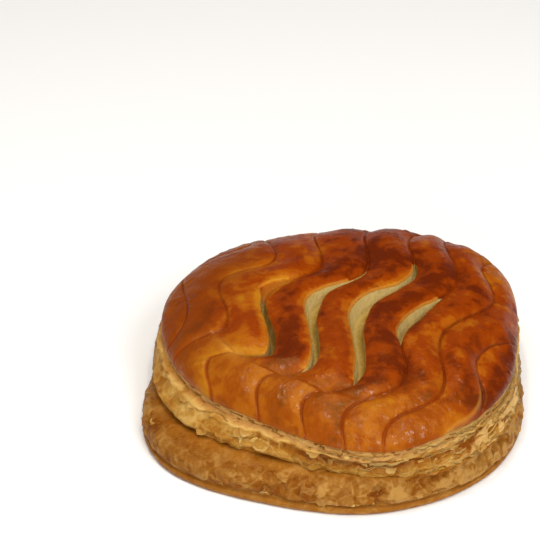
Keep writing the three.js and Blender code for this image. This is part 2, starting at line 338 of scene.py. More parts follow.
def lid_relief(x, y):
    """Height of the glazed skin over the plan, and what the finish needs to know about it."""
    reach, angle = lid_reach(x, y)
    along, across = wave_place(x, y)
    spots = plan(x, y)
    lines = np.stack([wave_across(turns, along) for turns in WAVES.values()])
    widths = np.stack([opening_width(name, along) for name in WAVES])
    gaps = across - lines

    pillow, band = plump_bands(across, lines, widths)
    rim_fade = 1 - smooth(0.9, 1, reach)
    corner = bell((reach - FOLD_END["at"]) / FOLD_END["width"])
    corner = corner * facing(angle, FOLD_END["toward"], FOLD_END["spread"])
    height = dome(reach) + fold(reach, angle) + FOLD_END["height"] * corner
    front_border = smooth(0.58, 0.8, reach) * smooth(-12, -34, along)
    plump = 0.35 + 0.65 * smooth(-32, -14, across) * (1 - 0.55 * front_border)
    height += rim_fade * PLUMPNESS * plump * (pillow - 0.3)
    height += rim_fade * (0.4 * cloud(spots, 17, 3, 2) + 0.1 * cloud(spots, 4.5, 5, 2))
    # Small blisters where the glaze ran together near the rim.
    blisters = np.clip(cloud(spots, 2.2, 7, 2) - 0.3, 0, 1)
    height += 0.35 * blisters * (bell((reach - 0.93) / 0.08) + 0.35 * smooth(25, 45, across))

    # The first cut widens at its upper end into a shallow pocket.
    one = list(WAVES).index("cut_one")
    first_cut = (widths[one] > 0.15) * (np.abs(gaps[one]) < widths[one] / 2 + 0.3)
    pocket = smooth(-3.5, 0, along) * first_cut
    cut, wall, lip = open_cuts(spots, gaps, widths, pocket)
    height += lip - cut

    # Scored lines: a thin groove. The outermost one splits the rim, with an edge on one side.
    nearest = (np.abs(gaps) + np.where(widths > 0.9, 9, 0)).min(0)
    toward_front = smooth(0, -8, along)
    crack = bell(gaps[-1] / CRACK_HALF_WIDTH) * smooth(0.84, 0.93, reach) * toward_front
    crack = crack * (1 - 0.8 * smooth(0.955, 0.99, reach))
    split_edge = smooth(0.86, 0.95, reach) * toward_front * bell((gaps[-1] + 1) / 0.4)
    height -= SCORE_DEPTH * bell(nearest / SCORE_HALF_WIDTH) + CRACK_DEPTH * crack
    height += SPLIT_EDGE * split_edge
    beside = np.where(widths > 1, -gaps - widths / 2, 99)
    lip_left = np.where(beside > -0.3, beside, 99).min(0)
    # lip, split_edge and corner also place painted highlights in the glaze's colour.
    return height, dict(
        cut=cut, wall=wall, score=nearest, crack=crack, lip=np.clip(lip_left, 0, 20), pillow=pillow,
        reach=reach, band=band, along=along, across=across, pocket=pocket, first_cut=first_cut,
        split_edge=split_edge, corner=corner,
    )


# ---- meshes ----


def place(name, data):
    thing = bpy.data.objects.new(name, data)
    bpy.context.scene.collection.objects.link(thing)
    return thing


def make_piece(name, points, faces, fields):
    """A mesh from points in mm of the plan, with one float attribute for each field."""
    metres = (points - np.array((*PLAN_MIDDLE, 0))) * MM
    mesh = bpy.data.meshes.new(name)
    mesh.from_pydata(metres.tolist(), [], faces)
    mesh.polygons.foreach_set("use_smooth", np.ones(len(mesh.polygons), bool))
    for field, values in fields.items():
        layer = mesh.attributes.new(field, "FLOAT", "POINT")
        layer.data.foreach_set("value", np.ascontiguousarray(values, dtype=np.float32).ravel())
    mesh.validate()
    piece = place(name, mesh)
    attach(piece, "root")
    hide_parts(NODE)
    return piece


def ring_quads(rows, columns):
    """Quads of a net of `rows` closed rings, facing out where the rings run upward."""
    index = np.arange(rows * columns).reshape(rows, columns)
    low, high = index[:-1], index[1:]
    return joined(low, np.roll(low, -1, 1), np.roll(high, -1, 1), high).reshape(-1, 4)


def through_stations(stations, spot):
    """A smooth (Catmull-Rom) run through rows of numbers, at places 0, 1, 2 ... along them."""
    rows = np.array(stations, float)
    leg = np.clip(np.floor(spot).astype(int), 0, len(rows) - 2)
    t = (spot - leg)[..., None]
    before, begin = rows[np.maximum(leg - 1, 0)], rows[leg]
    end, after = rows[leg + 1], rows[np.minimum(leg + 2, len(rows) - 1)]
    bend = 2 * before - 5 * begin + 4 * end - after
    twist = 3 * (begin - end) + after - before
    return begin + 0.5 * t * (end - before + t * (bend + t * twist))


# ---- lid ----


def disc_net(cells):
    """A square net drawn onto a disc: each square ring of it becomes a round one."""
    line = np.linspace(-1, 1, cells + 1)
    a, b = np.meshgrid(line, line, indexing="ij")
    sideways = np.abs(a) > np.abs(b)
    reach = np.where(sideways, a, b)
    safe = np.where(reach == 0, 1, reach)
    turn = (np.pi / 4) * np.where(sideways, b / safe, 2 - a / safe)
    return np.abs(reach), np.where(reach < 0, turn + np.pi, turn)


def even_reach(share):
    """Rings at even steps along the dome's profile, so the steep shoulder gets its share."""
    fine = 1 - np.linspace(1, 0, 4001) ** 1.6
    climb = np.hypot(np.diff(fine * LID_EDGE["mean"]), np.diff(dome(fine)))
    return np.interp(share, np.r_[0, np.cumsum(climb)] / climb.sum(), fine)


def build_lid():
    """Dome net, then rings that turn under its edge, and a fan that closes it inside."""
    share, angle = disc_net(LID_CELLS)
    reach = even_reach(share)
    radius = reach * edge_radius(LID_EDGE, angle)
    x, y = LID_EDGE["x"] + radius * np.cos(angle), LID_EDGE["y"] + radius * np.sin(angle)
    x, y = crowd_to_lines(x, y, 1 - smooth(0.9, 0.99, reach))
    height, fields = lid_relief(x, y)
    spots = joined(x, y, height)
    # The glazed edge dips and lifts a little along the rim.
    sag = smooth(0.9, 1, reach) * (0.5 * cloud(spots, 14, 51, 2) + 0.22 * cloud(spots, 4, 53, 2))
    top = joined(x, y, height + sag).reshape(-1, 3)

    index = np.arange(share.size).reshape(share.shape)
    quads = joined(index[:-1, :-1], index[1:, :-1], index[1:, 1:], index[:-1, 1:])

    # The net's border, anticlockwise from the corner at -45 degrees.
    rim = np.r_[index[-1, :-1], index[::-1, -1][:-1], index[0, ::-1][:-1], index[:-1, 0]]
    outward = top[rim] - np.array((LID_EDGE["x"], LID_EDGE["y"], 0))
    outward[:, 2] = 0
    outward = unit(outward)
    # Rings under the glazed edge: (outward of it, above it).
    under = ((0.06, -0.22), (-0.2, -0.42), (-1.2, -0.4), (-6, -0.2))
    rings = [top[rim] + outward * out + np.array((0, 0, drop)) for out, drop in under]
    count = len(rim)
    hub = (LID_EDGE["x"], LID_EDGE["y"], EDGE_HEIGHT - 0.6)
    points = np.vstack([top, *rings, [hub]])
    loops = [rim] + [len(top) + count * number + np.arange(count) for number in range(len(rings))]
    nets = [
        joined(lower, np.roll(lower, -1), np.roll(upper, -1), upper)
        for upper, lower in zip(loops[:-1], loops[1:])
    ]
    fan = joined(np.full(count, len(points) - 1), np.roll(loops[-1], -1), loops[-1])
    faces = np.vstack([quads.reshape(-1, 4), *nets]).tolist() + fan.tolist()

    for key, values in fields.items():
        values = values.ravel()
        fields[key] = np.r_[values, np.tile(values[rim], len(rings)), values[0]]
    return make_piece("glazed_lid", points, faces, fields)


# ---- sides ----

# (outline, out of it, height) from the hidden top edge down and round the lip, and from the
# bottom up, both into the crease.
UPPER_STATIONS = (
    (2, -8, 20.9), (2, -2.2, 21.5), (2, -0.3, 21.9), (2, -0.15, 21.2), (2, -0.05, 20.4),
    (2, 0.1, 19.6), (1.8, 0.7, 18.5), (1.6, 0.9, 17), (1.3, 0.8, 15.4), (1, 0.4, 14),
    (1, 0, 12.9), (1, -0.8, 12.2), (1, -1.9, 11.9), (1, -3.2, 12), (1, -9, 12.6),
)
LOWER_STATIONS = (
    (0, -4, 0), (0, -1.6, 0), (0, -0.5, 0.5), (0, 0, 1.5), (0, -0.1, 2.4), (0, -0.5, 3),
    (0, -0.6, 3.6), (0, -0.1, 4.6), (0, -0.2, 6), (0, -0.9, 7.6), (0.1, -2, 9.1),
    (0.5, -2.4, 10.4), (0.9, -2.6, 11.3), (1, -3.3, 11.8), (1, -8.5, 12.2),
)


def column_angle(column):
    """Where a column of the sides' nets lies; the first is at -45 degrees."""
    return 2 * np.pi * column / AROUND - np.pi / 4


def crease_fill(angle, spot, start):
    """At the right the layers all but meet, so the crease between them is shallow."""
    round_the_side = joined(9 * np.cos(angle), 9 * np.sin(angle), 0 * angle)
    filled = 1.2 + 1 * facing(angle, *SHALLOW_CREASE) + 0.8 * value_noise(round_the_side, 27)
    return filled * smooth(start, start + 2.5, spot)


def side_net(stations, rows, shown, fill_start):
    """A side before its relief: angle of each column, place and height of each row, the points,
    and the same in the plan. The rows crowd into the `shown` stretch of stations."""
    first, last = shown
    inside = np.linspace(first, last, rows - first - (len(stations) - 1 - last))
    spot = np.r_[np.arange(first), inside, np.arange(last + 1, len(stations))]
    level, out, height = through_stations(stations, spot).T[:, :, None]
    angle, spot = column_angle(np.arange(AROUND))[None, :], spot[:, None]
    x, y = edge_point(level + 0 * angle, angle + 0 * level, out + crease_fill(angle, spot, fill_start))
    return angle, spot, height, joined(x, y, height + 0 * angle), plan(x, y)


def torn_leaves(spots, sizes, stretches, seeds, share):
    """Torn leaves in two sizes: the height of each, and their tone and border."""
    large, border, tone = shingles(stretched(spots, stretches[0]), sizes[0], seeds[0])
    small, small_border, small_tone = shingles(stretched(spots, stretches[1]), sizes[1], seeds[1])
    fields = {
        "tone": share * tone + (1 - share) * small_tone,
        "border": np.minimum(border, small_border + 0.03),
    }
    return large, small, fields


def end_rings(rows):
    return np.arange(AROUND), (rows - 1) * AROUND + np.arange(AROUND)


def pushed(x, y, z, push, angle):
    return joined(x + push * np.cos(angle), y + push * np.sin(angle), z)


def build_upper_layer():
    """Net around the side: a porous strip of thin leaves under the glaze, a ledge, a wall of
    torn leaves that swells toward its foot, and a lip that hangs over the crease."""
    angle, spot, height, spots, ground = side_net(UPPER_STATIONS, UPPER_ROWS, (1, 12), 10)
    x, y, z = np.moveaxis(spots, -1, 0)
    shown = smooth(1.6, 2.4, spot) * (1 - smooth(11, 12, spot))
    left, front, right, calm = (facing(angle, *side) for side in UPPER_SIDES.values())

    ledge = 18.7 + 0.55 * cloud(ground, 11, 21, 2) + 0.25 * cloud(ground, 3, 22, 2)
    strip = smooth(-0.2, 0.4, z - ledge)
    thin_leaves = ridged(stretched(spots, 4), 5, 23)
    pits = smooth(0.28, 0.62, cloud(stretched(spots, 2.1) + 9, 1.7, 25, 2)) * smooth(21.3, 20.8, z)
    strip_push = (0.26 + 0.24 * np.maximum(front, 0.4 * right)) * (thin_leaves - 0.8) - 0.55 * pits
    undercut = bell((z - ledge - 0.6) / 0.45) * (0.6 + 0.6 * cloud(ground, 7, 26, 2))
    strip_push -= (0.3 + 0.35 * left) * undercut

    # The wall: torn leaves in two sizes, and soft folds that run down it to the lip.
    large, small, fields = torn_leaves(spots, (5.6, 2.4), (1.2, 1.4), (31, 36), 0.6)
    turn = 23 * angle + 3 * cloud(ground, 17, 45, 2)
    arch = np.abs(np.sin(turn)) ** 0.8
    folds = ridged(stretched(spots, 0.45) + 0.8 * large[..., None], 4.6, 42, 2)
    wall_push = (0.13 + 0.08 * front) * (large + 0.35 * small) + 0.4 * cloud(spots, 10, 41, 2)
    wall_push += (0.4 * folds - 0.2) * (1 - right) * (1 - 0.7 * left)
    wall_push += 0.22 * bell((z - ledge + 0.4) / 0.5) - 1.3 * front * bell((z - 16.4) / 1.6)
    # The right side: a hollow face of thin level leaves with caverns between, calm at its end.
    waved = spots + np.array((0, 0, 1.1)) * cloud(ground, 8, 44, 3)[..., None]
    layers = ridged(stretched(waved, 4), 7.5, 43, 3)
    fine_layers = ridged(stretched(waved, 5.5), 5, 48, 2)
    sheets = smooth(0.15, 0.75, layers) + 0.45 * smooth(0.2, 0.8, fine_layers)
    sheets = sheets + calm * 0.75 * (0.95 - sheets)
    wall_push += right * (0.85 * sheets - 0.75) - 0.9 * right * bell((z - 17) / 2.4)
    push = shown * (strip * strip_push * (1 - 0.5 * calm) + (1 - strip) * wall_push)

    # The lip hangs in a rounded drip every few millimetres, all but smooth at the left.
    torn = (0.7 + 0.6 * front - 0.2 * right) * (1 - 0.7 * left)
    torn = torn * (0.55 + 0.6 * cloud(ground, 9, 46, 1))
    hang = bell((height - 12.8) / 1.8) * shown
    drip = smooth(0, 0.5, cloud(ground, 4.2, 50, 1))
    sway = 0.45 * cloud(ground, 8, 47, 3)
    z = z + hang * (torn * (0.5 * arch - 2.2 * drip + 0.2) + sway - 0.4 * right)
    z = z + shown * 0.12 * cloud(spots, 2.2, 49, 2)
    push = push + hang * 0.6 * torn * (drip - 0.3)

    net = pushed(x, y, z, push, angle)
    # The rings run downward here and close inside, so the net is turned over.
    first, last = end_rings(UPPER_ROWS)
    inner = joined(first, np.roll(first, -1), np.roll(last, -1), last)
    faces = np.vstack([ring_quads(UPPER_ROWS, AROUND)[:, ::-1], inner]).tolist()
    # In the colour, recess, pits, crease and left bring painted shade; ledge, a painted highlight.
    fields |= {
        "recess": -push, "strip": strip, "pits": pits * strip,
        "crease": smooth(10.2, 11.6, spot) + 0 * x,
        "ledge": bell((z - ledge + 0.1) / 0.26) * shown,
        "left": left * bell((z - ledge - 0.5) / 0.5) * shown,
        "layers": np.clip(sheets, 0, 1) * right * (1 - strip),
    }
    return make_piece("upper_pastry", net.reshape(-1, 3), faces, fields), net


def build_lower_layer():
    """Net from the flat bottom over the rim and its groove, up the blistered side and into the
    crease."""
    angle, spot, height, spots, ground = side_net(LOWER_STATIONS, LOWER_ROWS, (1, 13), 9.5)
    x, y, z = np.moveaxis(spots, -1, 0)
    side = smooth(3.2, 4.4, height) * (1 - smooth(12.2, 13.2, spot))
    left, right = (facing(angle, *side_faced) for side_faced in LOWER_SIDES.values())
    large, small, fields = torn_leaves(spots, (5.2, 2.3), (1.2, 1.2), (61, 66), 0.55)
    folds = ridged(stretched(spots, 0.6) + 0.6 * large[..., None], 5, 78, 2)
    push = side * (
        (0.24 + 0.06 * right) * (large + 0.55 * small)
        + 0.5 * cloud(spots, 9, 71, 2)
        + (0.6 - 0.35 * left) * np.clip(cloud(spots, 4, 72, 3), 0, 1)
        + (0.4 - 0.2 * left) * folds - 0.3
    )
    groove = bell((height - 3) / 0.55)
    rim = (1 - smooth(2.9, 3.6, height)) * smooth(0.2, 1, height)
    push = push + rim * (0.14 * cloud(ground, 8, 73, 3) + 0.05 * cloud(spots, 1.3, 74, 2))
    push = push - 0.12 * groove * (0.8 + 0.5 * cloud(ground, 12, 76, 2))
    z = z + side * 0.3 * cloud(spots, 5, 75, 2)
    z = z + bell(height - 3) * 0.35 * cloud(ground, 22, 77, 2)

    net = pushed(x, y, np.maximum(z, 0), push, angle)
    inside = (LIP_EDGE["x"], LIP_EDGE["y"], LOWER_STATIONS[-1][2])
    points = np.vstack([net.reshape(-1, 3), [(0, 0, 0), inside]])
    first, last = end_rings(LOWER_ROWS)
    below, above = np.full(AROUND, len(points) - 2), np.full(AROUND, len(points) - 1)
    fans = [joined(below, np.roll(first, -1), first), joined(last, np.roll(last, -1), above)]
    faces = ring_quads(LOWER_ROWS, AROUND).tolist() + np.vstack(fans).tolist()
    # In the colour, recess, left, groove and crease bring painted shade.
    fields |= {
        "recess": -push, "rim": rim, "groove": groove, "left": left * np.maximum(side, rim),
        "crease": smooth(10.2, 12.4, spot),
    }
    # The two middle points that close the net come last.
    fields = {key: np.r_[(values + 0 * x).ravel(), 0, 0] for key, values in fields.items()}
    return make_piece("lower_pastry", points, faces, fields), net


def loose_piece(name, points, faces, free_end, toast):
    """`free_end` runs from 0 at a root to 1 at its free end; `toast` is one tone for each leaf."""
    fields = {"free_end": free_end, "toast": toast}
    fields = {key: np.broadcast_to(values, points.shape[:-1]) for key, values in fields.items()}
    return make_piece(name, points.reshape(-1, 3), faces, fields)


def build_flakes(name, net, rows, count, seed, weight, size, curl):
    """Loose leaves on a side, each a sheet over u, -1 to 1 along the side, and v, 0 at its root to
    1 at its free end, a nicked half round. It lifts off as v to the power 1.6, with its corners
    curled, and a back face and a border close it."""
    rng = np.random.default_rng(seed)
    row = rng.integers(rows[0], rows[1], 6 * count)
    column = rng.integers(0, AROUND, 6 * count)
    everywhere, more, *toward = weight
    chosen = rng.uniform(0, 1, 6 * count) < everywhere + more * facing(column_angle(column), *toward)
    row, column = row[chosen][:count], column[chosen][:count]
    count = len(row)

    root = net[row, column]
    around = unit(net[row, (column + 6) % AROUND] - net[row, (column - 6) % AROUND])
    down = net[row + 5, column] - net[row - 5, column]
    down = unit(down - around * (down * around).sum(-1, keepdims=True))
    down = down * -np.sign(down[:, 2:])
    outward = np.cross(around, down)
    outward = outward * np.sign((outward * (root - (0, 0, 8))).sum(-1, keepdims=True))
    turn = rng.normal(0, 0.45, (count, 1)) + np.pi * (rng.uniform(0, 1, (count, 1)) < 0.25)
    along = np.cos(turn) * around + np.sin(turn) * down
    fall = np.cos(turn) * down - np.sin(turn) * around

    across, deeper = 16, 8
    each = across * deeper
    u = np.linspace(-1, 1, across)[None, :, None]
    v = np.linspace(0, 1, deeper)[None, None, :]
    pick = rng.uniform(0, 1, (10, count, 1, 1))
    long = size[0] + (size[1] - size[0]) * pick[0] ** 1.8
    deep = long * (0.35 + 0.4 * pick[1])
    nick = 1 + 0.1 * np.sin(4 * u + 6.3 * pick[2]) + 0.04 * np.sin(9 * u + 6.3 * pick[3])
    place_u = 0.5 * long * u * (1 - (0.05 + 0.2 * pick[4]) * v**1.5) + 0.2 * long * (pick[5] - 0.5) * v
    place_v = deep * v * nick * np.sqrt(1.02 - u**2)
    lift = -0.22 + curl * (0.3 + pick[6]) * v**1.6 * (1 + 0.8 * (2 * pick[7] - 1) * u)
    lift = lift + 0.1 * np.sin(5 * u + 6.3 * pick[8]) * v
    root, along, fall, outward = (part[:, None, None] for part in (root, along, fall, outward))
    face = root + (place_u[..., None] * along + place_v[..., None] * fall) + lift[..., None] * outward
    back = face - 0.1 * outward * (1 - 0.5 * v[..., None])
    points = np.stack([face, back], 1)

    cell = np.arange(each).reshape(across, deeper)
    front_quads = joined(cell[:-1, :-1], cell[:-1, 1:], cell[1:, 1:], cell[1:, :-1]).reshape(-1, 4)
    border = np.r_[cell[:-1, 0], cell[-1, :-1], cell[:0:-1, -1], cell[0, :0:-1]]
    edge_quads = joined(border, np.roll(border, -1), np.roll(border, -1) + each, border + each)
    one = np.vstack([front_quads, front_quads[:, ::-1] + each, edge_quads])
    faces = (one[None] + 2 * each * np.arange(count)[:, None, None]).reshape(-1, 4)
    return loose_piece(name, points, faces.tolist(), v[:, None], pick[9][:, None])


def on_net(net, row, column):
    """Points of a closed net between its own, at fractional rows and columns."""
    low, near = np.floor(row).astype(int), np.floor(column).astype(int)
    up, on = (row - low)[..., None], (column - near)[..., None]
    near, far = near % AROUND, (near + 1) % AROUND
    lower = net[low, near] * (1 - on) + net[low, far] * on
    upper = net[low + 1, near] * (1 - on) + net[low + 1, far] * on
    return lower * (1 - up) + upper * up


def build_leaf_edges(name, net, rows, count, seed, toward, length, size):
    """Torn edges of the level leaves: ribbons along a side. Station t, 0 to 1, lies on the side at
    a wandering height; the leaf stands off there by stand * sin(pi t)^0.5 and falls by drop *
    sin(pi t)^0.5, both frayed by noise, and thins toward its edge."""
    rng = np.random.default_rng(seed)
    pick = rng.uniform(0, 1, (8, count, 1))
    centre = np.radians(toward[0]) + np.radians(toward[1]) * rng.normal(0, 1, (count, 1))
    long = length[0] + (length[1] - length[0]) * pick[0] ** 1.5
    steps, corners = 44, 5
    t = np.linspace(0, 1, steps)[None, :]
    turn = centre + (t - 0.5) * long / LIP_EDGE["mean"]
    column = ((turn + np.pi / 4) % (2 * np.pi)) * AROUND / (2 * np.pi)
    own = 31 * np.arange(count)[:, None] + 0 * t

    def wander(size, offset):
        return value_noise(joined(t * long / size, own + offset, 0 * own), seed)

    row = rows[0] + (rows[1] - rows[0]) * pick[1] + 4.5 * wander(7, 0.3) + 1.5 * wander(2.5, 3.3)
    base = on_net(net, np.clip(row, rows[0], len(net) - 5), column)
    out = joined(np.cos(turn), np.sin(turn), 0 * turn)
    up = np.array((0, 0, 1.0))
    close = np.sin(np.pi * t) ** 0.5
    fray = 1 + 0.45 * wander(2.2, 5.3) + 0.3 * wander(0.9, 7.3)
    lifted = np.where(pick[4] < 0.2, -0.5, 1)
    stand = (size * (0.25 + 0.55 * pick[2]) * close * fray)[..., None]
    drop = (size * (0.2 + 1.3 * pick[3] ** 1.5) * close * fray * lifted)[..., None]
    root, tip = base - 0.45 * out, base + stand * out - drop * up
    middle = (root + tip) / 2 + 0.12 * up
    rim = [root + 0.16 * up, middle + 0.1 * up, tip, middle - 0.08 * up, root - 0.16 * up]
    index = np.arange(steps * corners).reshape(steps, corners)
    low, high = index[:-1], index[1:]
    quads = joined(low, high, np.roll(high, -1, 1), np.roll(low, -1, 1)).reshape(-1, 4)
    shift = steps * corners * np.arange(count)[:, None, None]
    faces = (quads[None] + shift).reshape(-1, 4).tolist()
    faces += (index[0][None] + shift[:, 0]).tolist() + (index[-1][::-1][None] + shift[:, 0]).tolist()
    free_end = np.array((0, 0.5, 1, 0.5, 0))
    return loose_piece(name, np.stack(rim, 2), faces, free_end, pick[5][..., None])


# ---- materials ----


class Nodes:
    """Short calls for building a node tree."""

    def __init__(self, tree):
        self.tree = tree

    def add(self, kind, inputs=None, **settings):
        node = self.tree.nodes.new(kind)
        for key, value in settings.items():
            setattr(node, key, value)
        for key, value in (inputs or {}).items():
            self.feed(node.inputs[key], value)
        return node

    def feed(self, socket, value):
        if isinstance(value, bpy.types.NodeSocket):
            self.tree.links.new(value, socket)
        else:
            socket.default_value = value

    def field(self, name):
        return self.add("ShaderNodeAttribute", attribute_name=name).outputs["Fac"]

    def math(self, operation, *values):
        node = self.add("ShaderNodeMath", operation=operation)
        for socket, value in zip(node.inputs, values):
            self.feed(socket, value)
        return node.outputs[0]

    def times(self, first, second):
        return self.math("MULTIPLY", first, second)

    def total(self, *terms):
        """Sum of (value, weight) pairs and plain numbers."""
        result = 0.0
        for term in terms:
            if isinstance(term, tuple):
                result = self.math("MULTIPLY_ADD", term[0], term[1], result)
            else:
                result = self.math("ADD", term, result)
        return result

    def span(self, value, low, high, to_low=0.0, to_high=1.0):
        inputs = {"Value": value, "From Min": low, "From Max": high}
        inputs |= {"To Min": to_low, "To Max": to_high}
        return self.add("ShaderNodeMapRange", inputs, interpolation_type="SMOOTHSTEP").outputs[0]

    def window(self, first, *others):
        """A product of spans, each given as (value, low, high)."""
        result = self.span(*first)
        for other in others:
            result = self.times(result, self.span(*other))
        return result

    def mix(self, share, first, second):
        node = self.add("ShaderNodeMix", data_type="RGBA")
        self.feed(node.inputs[0], share)
        for socket, colour in ((node.inputs[6], first), (node.inputs[7], second)):
            self.feed(socket, (*colour, 1) if isinstance(colour, tuple) else colour)
        return node.outputs[2]

    def layered(self, colour, *layers):
        """A colour under layers of (share, strength, colour), the last on top."""
        for share, strength, other in layers:
            share = share if strength == 1 else self.times(share, strength)
            colour = self.mix(share, colour, other)
        return colour

    def ramp(self, value, *stops):
        node = self.add("ShaderNodeValToRGB", {"Fac": value})
        node.color_ramp.interpolation = "EASE"
        elements = node.color_ramp.elements
        while len(elements) < len(stops):
            elements.new(0.5)
        for element, (position, colour) in zip(elements, stops):
            element.position = position
            element.color = (*colour, 1)
        return node.outputs[0]

    def noise(self, size, detail=3.0, rough=0.5, warp=0.0):
        """Noise with features of `size` mm."""
        where = self.add("ShaderNodeTexCoord").outputs["Object"]
        linked = isinstance(size, bpy.types.NodeSocket)
        scale = self.math("DIVIDE", 1 / MM, size) if linked else 1 / (size * MM)
        inputs = {"Vector": where, "Scale": scale, "Detail": detail, "Roughness": rough}
        return self.add("ShaderNodeTexNoise", inputs | {"Distortion": warp}).outputs["Fac"]

    def group(self, tree, **values):
        node = self.add("ShaderNodeGroup", node_tree=tree)
        for key, value in values.items():
            self.feed(node.inputs[key.replace("_", " ")], value)
        return node.outputs


def shared_group(name, inputs, outputs, build):
    """A node group of plain numbers: `build` turns its inputs into a value for each output."""
    tree = bpy.data.node_groups.new(name, "ShaderNodeTree")
    for side, labels in (("INPUT", inputs), ("OUTPUT", outputs)):
        for label in labels:
            tree.interface.new_socket(name=label, in_out=side, socket_type="NodeSocketFloat")
    nodes = Nodes(tree)
    given = nodes.add("NodeGroupInput").outputs
    results = nodes.add("NodeGroupOutput").inputs
    for label, value in zip(outputs, build(nodes, given)):
        nodes.feed(results[label], value)
    return tree


def build_torn_leaves(n, given):
    """Thin pale edges here and there along the leaves' borders, how toasted each leaf is, 0 to
    1, with patches of its own, and thin pale films with crisp borders."""
    here = n.span(n.noise(3, 2, 0.5), 0.42, 0.6)
    edge = n.times(n.span(given["Border"], 0.1, 0.01), here)
    patch = n.span(n.noise(4.5, 3, 0.6, 0.6), 0.3, 0.7)
    speck = n.span(n.noise(1.5, 3, 0.6, 0.4), 0.35, 0.65)
    toast = n.total((given["Tone"], 0.56), (patch, 0.36), (speck, 0.12), -0.02)
    blob = n.noise(5, 2.5, 0.5, 0.6)
    film = n.times(n.span(blob, 0.52, 0.545), n.span(blob, 0.55, 0.6, 1, 0.75))
    film = n.times(film, n.span(n.noise(14, 2, 0.5), 0.4, 0.6, 0.35, 1))
    dot = n.span(n.noise(1.3, 2, 0.5, 0.5), 0.64, 0.68)
    return edge, toast, n.math("MAXIMUM", film, n.times(dot, 0.8))


def build_grain(n, given):
    """Height of a baked surface: fine pits over softer bumps `Size` mm wide."""
    pits = n.noise(n.math("DIVIDE", given["Size"], 3.5), 3, 0.65, 0.4)
    return (n.total((n.noise(given["Size"], 3, 0.55, 0.5), 1), (pits, given["Pit Share"])),)


LEAF_OUTPUTS = ["Edge", "Toast", "Film"]
TORN_LEAVES = shared_group("torn_leaves", ["Border", "Tone"], LEAF_OUTPUTS, build_torn_leaves)
GRAIN = shared_group("baked_grain", ["Size", "Pit Share"], ["Height"], build_grain)


def baked(name, colour_of, rough, grain, bump, gloss_of=None, **settings):
    """`rough`: a noise's size, detail and roughness, and the finish it swings between; `grain`:
    size of the bumps and share of pits; `bump`: their height in mm."""
    material = bpy.data.materials.new(name)
    material.use_nodes = True
    nodes = Nodes(material.node_tree)
    shader = material.node_tree.nodes["Principled BSDF"]
    nodes.feed(shader.inputs["Base Color"], colour_of(nodes))
    size, detail, share, low, high = rough
    roughness = nodes.span(nodes.noise(size, detail, share), 0.3, 0.7, low, high)
    height = nodes.group(GRAIN, Size=grain[0], Pit_Share=grain[1])["Height"]
    relief = nodes.add("ShaderNodeBump", {"Height": height, "Strength": 1, "Distance": bump * MM})
    for key in ("Normal", "Coat Normal"):
        nodes.feed(shader.inputs[key], relief.outputs[0])
    for key, value in settings.items():
        shader.inputs[key.replace("_", " ")].default_value = value
    if gloss_of:
        dull, gloss, coat = gloss_of(nodes)
        roughness = nodes.math("ADD", roughness, dull)
        nodes.feed(shader.inputs["Specular IOR Level"], gloss)
        nodes.feed(shader.inputs["Coat Weight"], coat)
    nodes.feed(shader.inputs["Roughness"], roughness)
    return material


# Colours of the lid and its cuts.
GOLD = (0.42, 0.146, 0.005)
AMBER = (0.35, 0.082, 0.003)
RUSSET = (0.25, 0.035, 0.001)
DARK_CRUST = (0.12, 0.014, 0.001)
LEFT_BROWN = (0.2, 0.041, 0.003)
SCORE_SHADE = (0.12, 0.017, 0.003)
POCKET_TAN = (0.27, 0.08, 0.009)
CUT_PAINTED_SHADE = (0.12, 0.045, 0.005)
BORDER_TAN = (0.28, 0.1, 0.007)
# Gold for painted highlights on the cuts' lips, the split's edge and the fold's end.
LIP_PAINTED_HIGHLIGHT = (0.56, 0.25, 0.036)
CREAM = (0.54, 0.395, 0.14)
CRUMB_SHADE = (0.33, 0.2, 0.036)
CRUMB_PALE = (0.6, 0.46, 0.2)
PORE = (0.22, 0.12, 0.02)

# Colours of the sides; the tones run from pale to toasted.
LEAF_CREAM = (0.71, 0.46, 0.165)
UPPER_TONES = ((0.5, 0.3, 0.08), (0.37, 0.175, 0.027), (0.27, 0.095, 0.008), (0.19, 0.048, 0.003))
LOWER_TONES = ((0.4, 0.21, 0.052), (0.25, 0.092, 0.009), (0.19, 0.053, 0.003), (0.13, 0.03, 0.001))
STRIP_TAN = (0.51, 0.275, 0.095)
LEDGE_PAINTED_HIGHLIGHT = (0.65, 0.415, 0.135)
GROOVE_PAINTED_SHADE = (0.42, 0.17, 0.02)
CREASE_PAINTED_SHADE = (0.37, 0.13, 0.01)
RIM_TAN = (0.38, 0.155, 0.02)


def streaks(n, along, band):
    """Streaks that run with the bands between the scored lines."""
    route = n.add("ShaderNodeCombineXYZ", {"X": n.times(along, 0.075), "Y": n.times(band, 1.5)})
    inputs = {"Vector": route.outputs[0], "Scale": 1, "Detail": 2, "Roughness": 0.5}
    return n.span(n.add("ShaderNodeTexNoise", inputs).outputs["Fac"], 0.28, 0.72)


